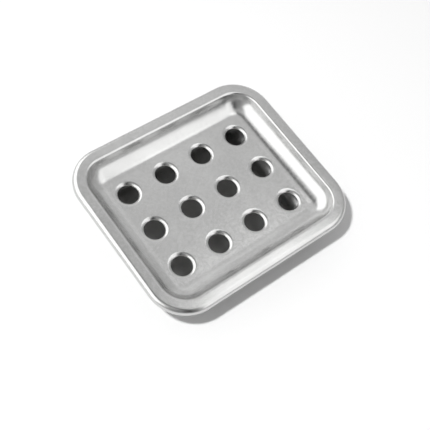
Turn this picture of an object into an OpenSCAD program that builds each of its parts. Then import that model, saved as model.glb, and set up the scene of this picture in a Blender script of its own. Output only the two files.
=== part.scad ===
// Two-piece drain tray in pressed stainless sheet.
// A perforated tray lies in a solid drip tray, flange on flange, and lifts straight out.
// Origin: middle of the flat underside of the drip tray. X runs along the length, +Z is up.

/* [Overall] */
// Length over the rim of the drain tray
tray_l = 114; // [96:1:150]
// Width over the rim of the drain tray
tray_w = 96; // [80:1:130]
// Height of the nested pair, from the underside to the top of the rim
tray_h = 22; // [18:0.5:32]
// Thickness of the sheet that both trays are pressed from
sheet_t = 0.6; // [0.4:0.05:0.8]
// Plan radius of the drain tray's flat floor at its corners
floor_corner_r = 2.4; // [1:0.1:12]

/* [Rim] */
// Width of the drain tray's flange, from the outer edge to where the bowl begins
flange_w = 5.7; // [5.2:0.1:9]
// Radius over the outside of the bend at the outer edge of both flanges
rim_bend_r = 2.4; // [1:0.1:2.6]
// Height of the drain tray's turned-down edge
drain_rim_drop = 3; // [2.7:0.1:5]
// Height of the drip tray's turned-down edge
drip_rim_drop = 4; // [2.7:0.1:6]
// Gap all round between the two turned-down edges
rim_gap = 0.3; // [0.2:0.05:1]

/* [Drain tray bowl] */
// Depth from the top of the flange to the perforated floor
drain_depth = 8.5; // [6.5:0.1:11]
// Width of the curved wall, seen from above
drain_wall_w = 11.2; // [11.2:0.1:14]
// Radius of the rounded edge between flange and wall
drain_edge_r = 1.5; // [1:0.1:1.6]
// Radius of the hollow curve between wall and floor, less where the wall has no room for it
drain_foot_r = 10; // [3:0.1:10.1]

/* [Drip tray bowl] */
// How much nearer to the rim than the drain tray's bowl this bowl begins, all round
bowl_lead = 1.2; // [0.8:0.1:2.2]
// Radius of the rounded edge between flange and wall
drip_edge_r = 2; // [1:0.1:2.2]
// Radius of the hollow curve between wall and floor
drip_foot_r = 6; // [2:0.1:8]
// Plan radius of the drip tray's flat floor at its corners
drip_floor_corner_r = 1.2; // [0.6:0.1:4]

/* [Drain holes] */
// Number of holes along the length
hole_cols = 4; // [2:1:4]
// Number of holes across the width
hole_rows = 3; // [2:1:3]
// Clear diameter of each hole at its throat
hole_d = 9.8; // [6:0.1:12.4]
// Radius of the rolled-down lip, over its upper face
lip_r = 2.5; // [1.2:0.1:2.8]
// Angle through which the lip is rolled down
lip_turn = 60; // [40:5:65]
// Flat floor left between the outermost lips and the end walls
hole_margin_x = 0.1; // [0.1:0.1:5]
// Flat floor left between the outermost lips and the side walls
hole_margin_y = 1.8; // [0.1:0.1:5]

/* [Hidden] */
$fn = 96;
steel = [0.78, 0.79, 0.79];
shaded_steel = [0.66, 0.67, 0.68];
// How far a cutting shape runs past the face that it cuts
over = 1;
// Least straight part of a wall, between the edge arc and the foot arc
wall_flat = 1;

// The rim's corners are concentric with the floor's
rim_corner_r = floor_corner_r + drain_wall_w + flange_w;

// The drip tray's rim stands inside the turned-down edge of the drain tray
rim_inset = sheet_t + rim_gap;
drip_l = tray_l - 2 * rim_inset;
drip_w = tray_w - 2 * rim_inset;
drip_corner_r = rim_corner_r - rim_inset;
drip_rim_z = tray_h - sheet_t;
drip_depth = drip_rim_z - sheet_t;
drip_flange_w = flange_w - rim_inset - bowl_lead;
drip_wall_w = drip_corner_r - drip_flange_w - drip_floor_corner_r;

// The hole pattern fills the drain tray's flat floor
floor_l = tray_l - 2 * (flange_w + drain_wall_w);
floor_w = tray_w - 2 * (flange_w + drain_wall_w);
lip_outer_r = hole_d / 2 + lip_r * sin(lip_turn);
pitch_x = (floor_l - 2 * lip_outer_r - 2 * hole_margin_x) / (hole_cols - 1);
pitch_y = (floor_w - 2 * lip_outer_r - 2 * hole_margin_y) / (hole_rows - 1);

// Foot radius, limited to what a wall that drops by depth over run can hold below its edge arc
function fitted_foot(depth, run, edge_r, foot_r) =
    min(foot_r, (run * run + depth * depth - wall_flat * wall_flat) / (2 * depth) - edge_r);

// Steepest angle of a wall that drops by depth over run, between two arcs whose radii add up to arcs
function wall_angle(depth, run, arcs) = 2 * atan(depth / (run + sqrt(run * run - depth * (2 * arcs - depth))));

// Everything below one face of the sheet, seen in section. X is the distance from the corner's axis,
// Y the height above the flange. deeper = 0 gives the upper face, deeper = sheet_t the lower face.
module below_face(corner, flange, run, depth, edge_r, wished_foot_r, deeper) {
    foot_r = fitted_foot(depth, run, edge_r, wished_foot_r);
    angle = wall_angle(depth, run, edge_r + foot_r);
    base = -depth - sheet_t - over - deeper;
    edge = [corner - flange, -edge_r];
    foot = [corner - flange - run, foot_r - depth];
    toward = [-sin(angle), cos(angle)];
    difference() {
        union() {
            translate([edge[0], base])
                square([flange - rim_bend_r, -deeper - base]);
            translate([corner - rim_bend_r, base])
                square([rim_bend_r - deeper, -rim_bend_r - base]);
            translate([corner - rim_bend_r, -rim_bend_r])
                circle(rim_bend_r - deeper);
            translate(edge)
                circle(edge_r - deeper);
            polygon([edge, edge + (edge_r - deeper) * toward, foot - (foot_r + deeper) * toward,
                     foot, [foot[0], base], [edge[0], base]]);
            translate([0, base])
                square([foot[0], -depth - deeper - base]);
        }
        translate(foot)
            circle(foot_r + deeper);
    }
}

// Section of one tray's sheet from the corner's axis out to the turned-down edge
module sheet_section(corner, flange, run, depth, edge_r, foot_r, rim_drop) {
    difference() {
        below_face(corner, flange, run, depth, edge_r, foot_r, 0);
        below_face(corner, flange, run, depth, edge_r, foot_r, sheet_t);
        translate([corner - rim_bend_r, -rim_drop - 2 * depth])
            square([rim_bend_r + over, 2 * depth]);
    }
}

// Carries a section round a rounded rectangle and closes the middle with a flat floor
module pressed_tray(l, w, corner, depth) {
    straight_l = l - 2 * corner;
    straight_w = w - 2 * corner;
    for (turn = [0 : 3]) {
        side = turn % 2 == 0 ? straight_w : straight_l;
        reach = turn % 2 == 0 ? straight_l : straight_w;
        rotate([0, 0, 90 * turn]) {
            translate([reach / 2, side / 2, 0])
                rotate_extrude(angle = 90)
                    children();
            translate([reach / 2, side / 2, 0])
                rotate([90, 0, 0])
                    linear_extrude(side)
                        children();
        }
    }
    translate([-straight_l / 2, -straight_w / 2, -depth - sheet_t])
        cube([straight_l, straight_w, sheet_t]);
}

// Puts its children at the middle of every drain hole
module at_holes() {
    for (col = [0 : hole_cols - 1], row = [0 : hole_rows - 1])
        translate([(col - (hole_cols - 1) / 2) * pitch_x, (row - (hole_rows - 1) / 2) * pitch_y, 0])
            children();
}

// Lip rolled down round one hole through lip_turn, with its upper face starting at Z = 0
module rolled_lip() {
    rotate_extrude()
        translate([lip_outer_r, -lip_r])
            intersection() {
                difference() {
                    circle(lip_r);
                    circle(lip_r - sheet_t);
                }
                polygon([[0, 0], [0, 2 * lip_r], 2 * lip_r * [-sin(lip_turn), cos(lip_turn)]]);
            }
}

module drain_tray() {
    color(steel)
        translate([0, 0, tray_h]) {
            difference() {
                pressed_tray(tray_l, tray_w, rim_corner_r, drain_depth)
                    sheet_section(rim_corner_r, flange_w, drain_wall_w, drain_depth,
                                  drain_edge_r, drain_foot_r, drain_rim_drop);
                translate([0, 0, -drain_depth - sheet_t - over])
                    at_holes()
                        cylinder(h = sheet_t + 2 * over, r = lip_outer_r);
            }
            translate([0, 0, -drain_depth])
                at_holes()
                    rolled_lip();
        }
}

module drip_tray() {
    color(shaded_steel)
        translate([0, 0, drip_rim_z])
            pressed_tray(drip_l, drip_w, drip_corner_r, drip_depth)
                sheet_section(drip_corner_r, drip_flange_w, drip_wall_w, drip_depth,
                              drip_edge_r, drip_foot_r, drip_rim_drop);
}

drain_tray();
drip_tray();
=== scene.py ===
"""Draining soap dish: a perforated steel tray lying in a solid drip tray, on a white studio table."""
import math

import bmesh
import bpy
from mathutils import Matrix, Vector


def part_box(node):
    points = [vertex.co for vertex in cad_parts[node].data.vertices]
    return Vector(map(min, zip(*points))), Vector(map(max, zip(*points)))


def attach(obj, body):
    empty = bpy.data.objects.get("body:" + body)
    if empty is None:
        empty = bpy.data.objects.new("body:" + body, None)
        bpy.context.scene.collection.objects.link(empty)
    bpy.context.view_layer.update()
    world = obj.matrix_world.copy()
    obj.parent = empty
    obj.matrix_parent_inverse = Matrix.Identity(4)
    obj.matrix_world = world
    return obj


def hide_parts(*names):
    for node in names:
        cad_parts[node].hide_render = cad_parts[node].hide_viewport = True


MM = 0.001
IMAGE_PX = 430
SENSOR_MM = 36.0

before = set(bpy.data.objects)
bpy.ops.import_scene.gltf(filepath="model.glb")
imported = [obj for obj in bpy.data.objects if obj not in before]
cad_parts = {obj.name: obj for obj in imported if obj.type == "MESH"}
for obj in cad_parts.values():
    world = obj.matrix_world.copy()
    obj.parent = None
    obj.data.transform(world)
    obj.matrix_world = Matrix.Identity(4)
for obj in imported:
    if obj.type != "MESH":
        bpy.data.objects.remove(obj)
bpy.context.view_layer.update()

# Sizes of the sheet and its bends, in millimetres, as part.scad has them
SHEET = 0.6
FLOOR_CORNER_R = 2.4
BEND_R = 2.4
DRAIN = {"flange": 5.7, "wall": 11.2, "depth": 8.5, "edge_r": 1.5, "foot_r": 10.0, "drop": 3.0}
DRIP = {"flange": 3.6, "edge_r": 2.0, "foot_r": 6.0, "drop": 4.0}
DRIP_FLOOR_CORNER_R = 1.2
HOLE_R = 4.9
LIP_R = 2.5
LIP_TURN = math.radians(60)
LIP_OUTER_R = HOLE_R + LIP_R * math.sin(LIP_TURN)
HOLE_MARGIN_X = 0.1
HOLE_MARGIN_Y = 1.8
HOLE_COLS = 4
HOLE_ROWS = 3
# The cut edges of the sheet are deburred to this radius
HEM_R = 0.14

# How finely the meshes are divided
CORNER_STEPS = 22
SIDE_STEPS = 12
ARC_STEP = math.radians(5)
WALL_STEPS = 6
FLANGE_STEPS = 5
EDGE_STEPS = 3
FLOOR_BAND = 8.0
# Where the rings of quads lie between an inner and an outer line, as shares of the way
PATCH_SHARES = (0, 0.12, 0.35, 0.65, 1)
BAND_SHARES = (0, 0.25, 0.6, 1)
# Points nearer than this are one point: in millimetres, and in metres when the mesh is welded
SAME_PLACE = 1e-6
WELD = 1e-7


# ---------------------------------------------------------------- section of the sheet

def arc(centre, radius, start, end, outward):
    """Points on an arc in a section, from one slope to another.

    outward is +1 on a hollow curve and -1 on a crest."""
    steps = max(2, math.ceil(abs(end - start) / ARC_STEP))
    angles = [start + (end - start) * k / steps for k in range(steps + 1)]
    return [(centre[0] + outward * radius * math.sin(a), centre[1] - outward * radius * math.cos(a))
            for a in angles]


def between(a, b, steps):
    """Points strictly between two section points."""
    return [(a[0] + (b[0] - a[0]) * k / steps, a[1] + (b[1] - a[1]) * k / steps) for k in range(1, steps)]


def wall_slope(depth, run, arcs):
    """Slope of a wall that drops by depth over run, between two arcs whose radii add up to arcs."""
    return 2 * math.atan(depth / (run + math.sqrt(run * run - depth * (2 * arcs - depth))))


def face_curve(size, deeper):
    """One face of the sheet from the floor's edge out to the top of the turned-down edge."""
    slope = wall_slope(size["depth"], size["wall"], size["edge_r"] + size["foot_r"])
    foot = arc((0, size["foot_r"] - size["depth"]), size["foot_r"] + deeper, 0, slope, 1)
    edge = arc((size["wall"], -size["edge_r"]), size["edge_r"] - deeper, slope, 0, -1)
    outer = size["wall"] + size["flange"]
    bend = arc((outer - BEND_R, -BEND_R), BEND_R - deeper, 0, -math.pi / 2, -1)
    wall = between(foot[-1], edge[0], WALL_STEPS)
    flange = between(edge[-1], bend[0], FLANGE_STEPS)
    return foot + wall + edge + flange + bend


def sheet_section(size):
    """The whole section: out along the upper face, round the hem of the turned-down edge, and back."""
    outer = size["wall"] + size["flange"]
    low = -size["drop"]
    upper = face_curve(size, 0)
    lower = face_curve(size, SHEET)
    hem_out = arc((outer - HEM_R, low + HEM_R), HEM_R, -math.pi / 2, -math.pi, -1)
    hem_in = arc((outer - SHEET + HEM_R, low + HEM_R), HEM_R, -math.pi, -1.5 * math.pi, -1)
    return (upper + between(upper[-1], hem_out[0], EDGE_STEPS) + hem_out + hem_in
            + between(hem_in[-1], lower[-1], EDGE_STEPS) + lower[::-1])


# ---------------------------------------------------------------- outlines

def straight(a, b, steps):
    """Evenly spaced points from a towards b, without b."""
    return [(a[0] + (b[0] - a[0]) * k / steps, a[1] + (b[1] - a[1]) * k / steps) for k in range(steps)]


def corner_points(centre, radius, start):
    """Points round one corner with the normal at each, its far end left to the next straight."""
    out = []
    for k in range(CORNER_STEPS):
        a = start + math.pi / 2 * k / CORNER_STEPS
        n = (math.cos(a), math.sin(a))
        out.append(((centre[0] + radius * n[0], centre[1] + radius * n[1]), n))
    return out


def outline(breaks_x, breaks_y, radius):
    """Floor outline as (point, normal), anticlockwise from the right end of the bottom side."""
    hx, hy = breaks_x[-1], breaks_y[-1]
    stops_x = [-hx + radius, *breaks_x[1:-1], hx - radius]
    stops_y = [-hy + radius, *breaks_y[1:-1], hy - radius]
    sides = [
        ([(hx, y) for y in stops_y], (1, 0), (hx - radius, hy - radius), 0),
        ([(x, hy) for x in reversed(stops_x)], (0, 1), (-hx + radius, hy - radius), math.pi / 2),
        ([(-hx, y) for y in reversed(stops_y)], (-1, 0), (-hx + radius, -hy + radius), math.pi),
        ([(x, -hy) for x in stops_x], (0, -1), (hx - radius, -hy + radius), 1.5 * math.pi),
    ]
    out = []
    for stops, normal, centre, start in sides:
        for a, b in zip(stops, stops[1:]):
            out += [(p, normal) for p in straight(a, b, SIDE_STEPS)]
        out += corner_points(centre, radius, start)
    return out


def cell_outline(x0, x1, y0, y1, hx, hy, radius):
    """Edge of the patch of floor round one hole, rounded where the patch meets a corner of the floor."""
    corners = [(x1, y0, 1.5 * math.pi), (x1, y1, 0.0), (x0, y1, math.pi / 2), (x0, y0, math.pi)]
    rounded = [abs(abs(x) - hx) < SAME_PLACE and abs(abs(y) - hy) < SAME_PLACE for x, y, _ in corners]
    along = [(0, 1), (-1, 0), (0, -1), (1, 0)]
    out = []
    for k, (x, y, start) in enumerate(corners):
        if rounded[k]:
            centre = (x - math.copysign(radius, x), y - math.copysign(radius, y))
            out += [p for p, _ in corner_points(centre, radius, start)]
        nx, ny, _ = corners[(k + 1) % 4]
        step, trim_a, trim_b = along[k], radius * rounded[k], radius * rounded[(k + 1) % 4]
        a = (x + step[0] * trim_a, y + step[1] * trim_a)
        b = (nx - step[0] * trim_b, ny - step[1] * trim_b)
        out += straight(a, b, SIDE_STEPS)
    return out


# ---------------------------------------------------------------- meshes

class Sheet:
    """Collects quads by position; points that coincide are welded when the mesh is finished."""

    def __init__(self):
        self.bm = bmesh.new()

    def loft(self, rings, closed=True):
        """Quads between neighbouring rings of equally many points."""
        rows = [[self.bm.verts.new(Vector(p) * MM) for p in ring] for ring in rings]
        for low, high in zip(rows, rows[1:]):
            for k in range(len(low) if closed else len(low) - 1):
                nxt = (k + 1) % len(low)
                self.bm.faces.new((low[k], low[nxt], high[nxt], high[k]))

    def finish(self, name):
        bmesh.ops.remove_doubles(self.bm, verts=self.bm.verts, dist=WELD)
        bmesh.ops.recalc_face_normals(self.bm, faces=self.bm.faces)
        mesh = bpy.data.meshes.new(name)
        self.bm.to_mesh(mesh)
        self.bm.free()
        mesh.shade_smooth()
        obj = bpy.data.objects.new(name, mesh)
        bpy.context.scene.collection.objects.link(obj)
        return obj


def sweep_rim(sheet, points, size, rim_z):
    """Carries the section all round the floor's outline."""
    section = sheet_section(size)
    sheet.loft([[(p[0] + n[0] * s, p[1] + n[1] * s, rim_z + z) for p, n in points] for s, z in section])


def lip_section():
    """A rolled lip as (radius, height), from the floor's upper face round the cut edge to its lower face."""
    centre = (LIP_OUTER_R, -LIP_R)
    inner = LIP_R - SHEET
    upper_end = LIP_TURN - math.asin(HEM_R / (LIP_R - HEM_R))
    lower_end = LIP_TURN - math.asin(HEM_R / (inner + HEM_R))
    upper_pin = arc(centre, LIP_R - HEM_R, upper_end, upper_end, -1)[0]
    lower_pin = arc(centre, inner + HEM_R, lower_end, lower_end, -1)[0]
    cut = LIP_TURN + math.pi / 2
    return (arc(centre, LIP_R, 0, upper_end, -1) + arc(upper_pin, HEM_R, upper_end, cut, -1)[1:]
            + arc(lower_pin, HEM_R, cut, lower_end + math.pi, -1) + arc(centre, inner, lower_end, 0, -1)[1:])


def hole_patch(sheet, border, centre, floor_z):
    """The floor round one hole: flat quads out to its border, above and below, joined by the rolled lip."""
    turns = [math.atan2(b[1] - centre[1], b[0] - centre[0]) for b in border]

    def ring(radius, z):
        return [(centre[0] + radius * math.cos(a), centre[1] + radius * math.sin(a), z) for a in turns]

    def flat(z):
        start = ring(LIP_OUTER_R, z)
        rings = []
        for share in PATCH_SHARES:
            rings.append([(p[0] + (b[0] - p[0]) * share, p[1] + (b[1] - p[1]) * share, z)
                          for p, b in zip(start, border)])
        return rings

    sheet.loft(flat(floor_z))
    sheet.loft(flat(floor_z - SHEET))
    sheet.loft([ring(r, floor_z + z) for r, z in lip_section()])


def grid_floor(sheet, border, hx, hy, z):
    """A plain floor: bands of quads in from the rounded outline, then a grid."""
    ix, iy = hx - FLOOR_BAND, hy - FLOOR_BAND
    half = CORNER_STEPS // 2
    steps = 2 * SIDE_STEPS + CORNER_STEPS
    corners = [(ix, -iy), (ix, iy), (-ix, iy), (-ix, -iy)]
    loop = [p for k in range(4) for p in straight(corners[k], corners[(k + 1) % 4], steps)]
    loop = loop[half:] + loop[:half]
    sheet.loft([[(b[0] + (p[0] - b[0]) * share, b[1] + (p[1] - b[1]) * share, z)
                 for b, p in zip(border, loop)] for share in BAND_SHARES])
    sheet.loft([[(-ix + 2 * ix * i / steps, -iy + 2 * iy * j / steps, z) for i in range(steps + 1)]
                for j in range(steps + 1)], closed=False)


def make_drain_tray():
    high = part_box("drain_tray")[1] / MM
    hx = high.x - DRAIN["flange"] - DRAIN["wall"]
    hy = high.y - DRAIN["flange"] - DRAIN["wall"]
    pitch_x = 2 * (hx - LIP_OUTER_R - HOLE_MARGIN_X) / (HOLE_COLS - 1)
    pitch_y = 2 * (hy - LIP_OUTER_R - HOLE_MARGIN_Y) / (HOLE_ROWS - 1)
    breaks_x = [-hx, *[(c - HOLE_COLS / 2) * pitch_x for c in range(1, HOLE_COLS)], hx]
    breaks_y = [-hy, *[(r - HOLE_ROWS / 2) * pitch_y for r in range(1, HOLE_ROWS)], hy]
    sheet = Sheet()
    sweep_rim(sheet, outline(breaks_x, breaks_y, FLOOR_CORNER_R), DRAIN, high.z)
    for c in range(HOLE_COLS):
        for r in range(HOLE_ROWS):
            border = cell_outline(breaks_x[c], breaks_x[c + 1], breaks_y[r], breaks_y[r + 1],
                                  hx, hy, FLOOR_CORNER_R)
            centre = ((c - (HOLE_COLS - 1) / 2) * pitch_x, (r - (HOLE_ROWS - 1) / 2) * pitch_y)
            hole_patch(sheet, border, centre, high.z - DRAIN["depth"])
    return sheet.finish("perforated_tray")


def make_drip_tray():
    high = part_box("drip_tray")[1] / MM
    drain_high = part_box("drain_tray")[1] / MM
    inset = drain_high.x - high.x
    corner = FLOOR_CORNER_R + DRAIN["wall"] + DRAIN["flange"] - inset
    size = dict(DRIP, depth=high.z - SHEET, wall=corner - DRIP["flange"] - DRIP_FLOOR_CORNER_R)
    hx = high.x - size["flange"] - size["wall"]
    hy = high.y - size["flange"] - size["wall"]
    points = outline([-hx, 0, hx], [-hy, 0, hy], DRIP_FLOOR_CORNER_R)
    sheet = Sheet()
    sweep_rim(sheet, points, size, high.z)
    border = [p for p, _ in points]
    grid_floor(sheet, border, hx, hy, SHEET)
    grid_floor(sheet, border, hx, hy, 0.0)
    return sheet.finish("drip_tray_sheet")


# ---------------------------------------------------------------- materials

# How many features of each texture fit in a metre
GRAIN_SCALE = 1700.0
MOTTLE_SCALE = 650.0
CLOUD_SCALE = 60.0
WAVE_SCALE = 38.0
GRAIN_STRENGTH = 0.17
GRAIN_DEPTH = 0.0001
WAVE_STRENGTH = 0.15
WAVE_DEPTH = 0.001
# The darkest and lightest patches of the sheet against its tint
DARK_PATCH = 0.88
LIGHT_PATCH = 1.04
# The span of each texture's value that is used, and the share of the colour that it decides
FINE_SPAN = (0.35, 0.65)
BROAD_SPAN = (0.3, 0.7)
FINE_SHARE = 0.30
CLOUD_SHARE = 0.40
# How much the mottle lowers and raises the roughness
SPECKLE = (0.88, 1.14)
# Up to the first height of the normal the sheet is burnished, and from the second on it is satin
WALL_LEVEL = 0.90
FLAT_LEVEL = 0.995
# Colour of each tray's steel, roughness of its flats, roughness of its walls
DRAIN_STEEL = ((0.62, 0.62, 0.615), 0.21, 0.24)
DRIP_STEEL = ((0.66, 0.66, 0.655), 0.42, 0.34)


def node(tree, kind, at, **values):
    """A shader node; each value goes to the input of that name, or else to the property."""
    made = tree.nodes.new(kind)
    made.location = at
    for key, value in values.items():
        if key in made.inputs:
            made.inputs[key].default_value = value
        else:
            setattr(made, key, value)
    return made


def blend(tree, source, low, high, to_low, to_high, at):
    """Maps a texture value from one span to another, smoothly and without leaving the new span."""
    made = node(tree, "ShaderNodeMapRange", at, interpolation_type="SMOOTHSTEP")
    made.inputs["From Min"].default_value = low
    made.inputs["From Max"].default_value = high
    made.inputs["To Min"].default_value = to_low
    made.inputs["To Max"].default_value = to_high
    tree.links.new(source, made.inputs["Value"])
    return made.outputs["Result"]


def maths(tree, operation, a, b, at):
    """One sum on two values, each a number or a socket."""
    made = node(tree, "ShaderNodeMath", at, operation=operation)
    for socket, value in zip(made.inputs, (a, b)):
        if isinstance(value, float):
            socket.default_value = value
        else:
            tree.links.new(value, socket)
    return made.outputs["Value"]


def pressed_steel(name, tint, satin, burnished):
    """Stainless sheet: satin mill grain on the flats, burnished walls and bends, slight clouds and waves."""
    material = bpy.data.materials.new(name)
    material.use_nodes = True
    tree = material.node_tree
    shader = tree.nodes["Principled BSDF"]
    shader.inputs["Metallic"].default_value = 1.0
    where = node(tree, "ShaderNodeTexCoord", (-1400, 0))
    spot = where.outputs["Object"]
    grain = node(tree, "ShaderNodeTexNoise", (-1100, 300), Scale=GRAIN_SCALE, Detail=3.0, Roughness=0.65)
    mottle = node(tree, "ShaderNodeTexNoise", (-1100, 50), Scale=MOTTLE_SCALE, Detail=3.0, Roughness=0.6)
    cloud = node(tree, "ShaderNodeTexNoise", (-1100, -200), Scale=CLOUD_SCALE, Detail=3.0, Roughness=0.55)
    wave = node(tree, "ShaderNodeTexNoise", (-1100, -450), Scale=WAVE_SCALE, Detail=1.0, Roughness=0.4)
    for texture in (grain, mottle, cloud, wave):
        tree.links.new(spot, texture.inputs["Vector"])

    grain_part = blend(tree, grain.outputs["Fac"], *FINE_SPAN, 0.0, FINE_SHARE, (-850, 300))
    mottle_part = blend(tree, mottle.outputs["Fac"], *FINE_SPAN, 0.0, FINE_SHARE, (-850, 50))
    cloud_part = blend(tree, cloud.outputs["Fac"], *BROAD_SPAN, 0.0, CLOUD_SHARE, (-850, -200))
    patches = maths(tree, "ADD", grain_part, mottle_part, (-650, 200))
    patches = maths(tree, "ADD", patches, cloud_part, (-500, 100))
    colour = node(tree, "ShaderNodeValToRGB", (-350, 100))
    colour.color_ramp.elements[0].color = (*[t * DARK_PATCH for t in tint], 1)
    colour.color_ramp.elements[1].color = (*[t * LIGHT_PATCH for t in tint], 1)
    tree.links.new(patches, colour.inputs["Fac"])
    tree.links.new(colour.outputs["Color"], shader.inputs["Base Color"])

    facing = node(tree, "ShaderNodeSeparateXYZ", (-1100, 550))
    tree.links.new(where.outputs["Normal"], facing.inputs["Vector"])
    level = maths(tree, "ABSOLUTE", facing.outputs["Z"], 0.0, (-950, 550))
    finish = blend(tree, level, WALL_LEVEL, FLAT_LEVEL, burnished, satin, (-800, 550))
    speckle = blend(tree, mottle.outputs["Fac"], *BROAD_SPAN, *SPECKLE, (-650, 450))
    tree.links.new(maths(tree, "MULTIPLY", finish, speckle, (-350, 450)), shader.inputs["Roughness"])

    fine = node(tree, "ShaderNodeBump", (-350, -250), Strength=GRAIN_STRENGTH, Distance=GRAIN_DEPTH)
    tree.links.new(grain.outputs["Fac"], fine.inputs["Height"])
    broad = node(tree, "ShaderNodeBump", (-150, -350), Strength=WAVE_STRENGTH, Distance=WAVE_DEPTH)
    tree.links.new(wave.outputs["Fac"], broad.inputs["Height"])
    tree.links.new(fine.outputs["Normal"], broad.inputs["Normal"])
    tree.links.new(broad.outputs["Normal"], shader.inputs["Normal"])
    return material


# ---------------------------------------------------------------- studio

# The table lies this far under the tray, so that no two faces coincide
TABLE_GAP = 0.00005
VIEW_AZIMUTH = 54.54
VIEW_ELEVATION = 59.88
VIEW_ROLL = 20.16
VIEW_DISTANCE = 0.3782
VIEW_TARGET = Vector((-0.0073, -0.0117, 0.0205))
LENS_MM = 66.98
CLIP_START = 0.01
CLIP_END = 20
KEY_PLACE = (-0.29, 0.0, 0.58)
KEY_SIZE = 0.035
KEY_WATTS = 9.0
# Middle of the lower edge, middle of the upper edge, width, radiance
SOFTBOXES = {
    "left_softbox": ((-0.35, 0.31, 0.055), (-0.15, 0.13, 0.40), 0.9, 1.3),
    "overhead_softbox": ((0.128, -0.03, 0.293), (0.128, 0.034, 0.30), 0.145, 1.25),
    "front_softbox": ((0.155, -0.56, 0.17), (0.155, -0.03, 0.293), 0.25, 0.95),
    "ceiling_softbox": ((0.135, 0.05, 0.30), (0.135, 0.30, 0.30), 0.17, 0.17),
}
TABLE_HALF = 6.0
TABLE_COLOUR = (0.8, 0.8, 0.8, 1)
TABLE_ROUGHNESS = 0.9
TABLE_SPECULAR = 0.1
ROOM_LEVEL = 0.58
# Darker and lighter places in the room: toward, radius in full, radius where it ends, factor on the light
ROOM_SHADES = [
    ((-0.02, -0.45, 0.89), 6, 10, 0.08),
    ((-0.12, -0.58, 0.80), 6, 10, 0.08),
    ((-0.19, -0.70, 0.70), 6, 10, 0.08),
    ((-0.24, -0.83, 0.50), 6, 11, 0.10),
    ((-0.02, -0.22, 0.97), 5, 10, 0.15),
    ((-0.06, 0.05, 1.0), 5, 10, 0.20),
    ((-0.13, 0.30, 0.945), 6, 11, 0.20),
    ((-0.35, -0.75, 0.45), 15, 45, 0.5),
    ((0.50, 0.80, 0.35), 25, 42, 1.3),
]


def make_camera():
    data = bpy.data.cameras.new("camera")
    camera = bpy.data.objects.new("camera", data)
    bpy.context.scene.collection.objects.link(camera)
    data.sensor_width = SENSOR_MM
    data.lens = LENS_MM
    data.clip_start = CLIP_START
    data.clip_end = CLIP_END
    a, e = math.radians(VIEW_AZIMUTH), math.radians(VIEW_ELEVATION)
    forward = Vector((math.sin(a) * math.cos(e), math.cos(a) * math.cos(e), -math.sin(e)))
    level = forward.to_track_quat("-Z", "Y").to_matrix()
    turned = level @ Matrix.Rotation(math.radians(VIEW_ROLL), 3, "Z")
    camera.matrix_world = Matrix.Translation(VIEW_TARGET - forward * VIEW_DISTANCE) @ turned.to_4x4()
    bpy.context.scene.camera = camera


def place_light(name, size, watts, location, axes):
    """A rectangular area lamp that faces away from its third axis."""
    data = bpy.data.lights.new(name, "AREA")
    data.shape = "RECTANGLE"
    data.size, data.size_y = size
    data.energy = watts
    lamp = bpy.data.objects.new(name, data)
    bpy.context.scene.collection.objects.link(lamp)
    lamp.matrix_world = Matrix.Translation(location) @ Matrix(axes).transposed().to_4x4()
    lamp.visible_camera = False
    return lamp


def softbox(name, low, high, width, radiance):
    """A rectangular softbox between the middles of its lower and upper edges, facing the tray."""
    low, high = Vector(low), Vector(high)
    middle = (low + high) / 2
    upward = (high - low).normalized()
    across = upward.cross(Vector((0, 0, 1))).normalized()
    back = across.cross(upward)
    if back.dot(middle) < 0:
        across, back = -across, -back
    size = (width, (high - low).length)
    lamp = place_light(name, size, radiance * math.pi * size[0] * size[1], middle, (across, upward, back))
    lamp.visible_diffuse = False


def key_light(location, size, watts):
    """A small lamp that lights the table evenly and casts the shadow. It makes no reflection."""
    location = Vector(location)
    back = location.normalized()
    across = back.cross(Vector((0, 1, 0))).normalized()
    lamp = place_light("key", (size, size), watts, location, (across, back.cross(across), back))
    lamp.visible_glossy = False
    lamp.data.use_nodes = True
    tree = lamp.data.node_tree
    even = node(tree, "ShaderNodeLightFalloff", (-200, 0), Strength=1.0)
    tree.links.new(even.outputs["Constant"], tree.nodes["Emission"].inputs["Strength"])


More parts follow.
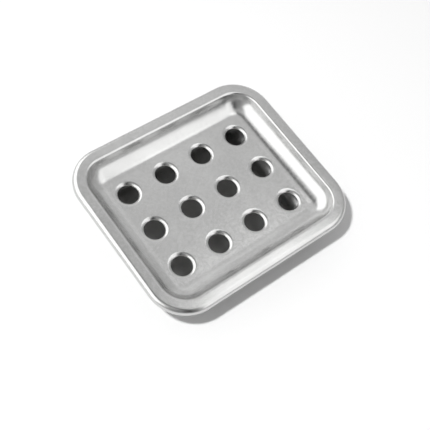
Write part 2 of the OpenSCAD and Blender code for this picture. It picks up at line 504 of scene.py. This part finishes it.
def make_table():
    bm = bmesh.new()
    bmesh.ops.create_grid(bm, x_segments=8, y_segments=8, size=TABLE_HALF)
    mesh = bpy.data.meshes.new("table")
    bm.to_mesh(mesh)
    bm.free()
    table = bpy.data.objects.new("table", mesh)
    bpy.context.scene.collection.objects.link(table)
    material = bpy.data.materials.new("white_table")
    material.use_nodes = True
    shader = material.node_tree.nodes["Principled BSDF"]
    shader.inputs["Base Color"].default_value = TABLE_COLOUR
    shader.inputs["Roughness"].default_value = TABLE_ROUGHNESS
    shader.inputs["Specular IOR Level"].default_value = TABLE_SPECULAR
    mesh.materials.append(material)
    table.location.z = -TABLE_GAP


def make_world():
    """A pale grey room with soft darker and lighter places for the steel to reflect."""
    world = bpy.data.worlds.new("studio")
    bpy.context.scene.world = world
    world.use_nodes = True
    tree = world.node_tree
    background = tree.nodes["Background"]
    background.inputs["Color"].default_value = (1, 1, 1, 1)
    direction = node(tree, "ShaderNodeTexCoord", (-1200, 0)).outputs["Generated"]
    level = ROOM_LEVEL
    for k, (toward, inner, outer, shade) in enumerate(ROOM_SHADES):
        near = node(tree, "ShaderNodeVectorMath", (-1000, -200 * k), operation="DOT_PRODUCT")
        tree.links.new(direction, near.inputs[0])
        near.inputs[1].default_value = Vector(toward).normalized()
        ends = (math.cos(math.radians(outer)), math.cos(math.radians(inner)))
        spot = blend(tree, near.outputs["Value"], *ends, 1.0, shade, (-800, -200 * k))
        level = maths(tree, "MULTIPLY", spot, level, (-600, -200 * k))
    tree.links.new(level, background.inputs["Strength"])


drain = make_drain_tray()
drip = make_drip_tray()
drain.data.materials.append(pressed_steel("drain_steel", *DRAIN_STEEL))
drip.data.materials.append(pressed_steel("drip_steel", *DRIP_STEEL))
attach(drain, "drain_body")
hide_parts("drain_tray")
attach(drip, "drip_body")
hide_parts("drip_tray")

make_camera()
make_table()
make_world()
key_light(KEY_PLACE, KEY_SIZE, KEY_WATTS)
for name, (low, high, width, radiance) in SOFTBOXES.items():
    softbox(name, low, high, width, radiance)
bpy.context.scene.view_settings.view_transform = "Standard"
